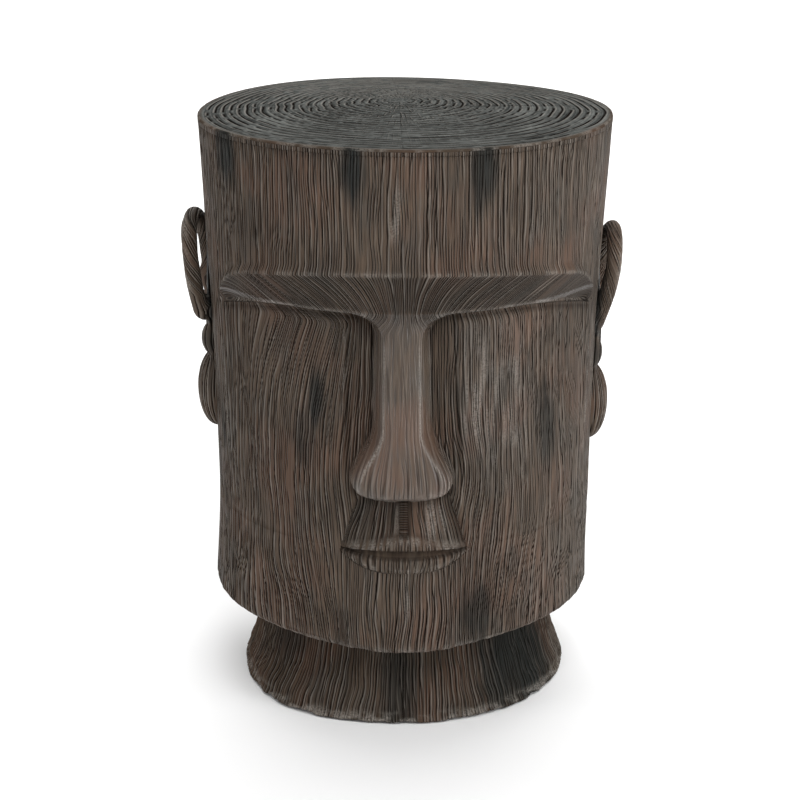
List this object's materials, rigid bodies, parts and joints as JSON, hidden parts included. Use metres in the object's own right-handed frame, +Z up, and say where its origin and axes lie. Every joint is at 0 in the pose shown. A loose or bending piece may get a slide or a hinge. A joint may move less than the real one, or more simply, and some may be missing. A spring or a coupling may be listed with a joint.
{
  "type": "head-shaped side table",
  "caption": "Head-shaped side table cast in wood-look lightweight concrete, with a log-end top, a browed face, long ears and a flared foot.",
  "frame": {"origin": "on the floor, under the middle of the table's outline", "axes": "+Z up, the face looks towards -Y, +X is on the right when facing the face"},
  "size_m": [0.3476, 0.3374, 0.457],
  "materials": {
    "brown_casting": "cast wood grain, brown stain with charcoal patches, satin sealer",
    "grey_casting": "cast growth rings, charcoal stain dry-brushed with pale grey",
    "raw_casting": "unpainted trowelled cement",
    "glass_fibre": "woven glass-fibre mesh set in cement slurry",
    "fibre_rod": "pultruded glass-fibre rod",
    "foot_rubber": "black moulded rubber",
    "zinc_steel": "zinc-plated pan-head screw"
  },
  "bodies": {
    "root": {"face_shell": "brown_casting", "back_shell": "brown_casting", "top_slab": "grey_casting", "neck_base": "brown_casting", "base_plate": "raw_casting", "left_ear": "brown_casting", "right_ear": "brown_casting", "left_ear_dowel_front": "fibre_rod", "left_ear_dowel_back": "fibre_rod", "right_ear_dowel_front": "fibre_rod", "right_ear_dowel_back": "fibre_rod", "rubber_foot_1": "foot_rubber", "rubber_foot_2": "foot_rubber", "rubber_foot_3": "foot_rubber", "rubber_foot_4": "foot_rubber", "foot_screw_1": "zinc_steel", "foot_screw_2": "zinc_steel", "foot_screw_3": "zinc_steel", "foot_screw_4": "zinc_steel", "face_lining": "glass_fibre", "back_lining": "glass_fibre", "top_lining": "glass_fibre", "seam_strip_left": "glass_fibre", "seam_strip_right": "glass_fibre"}
  },
  "joints": []
}
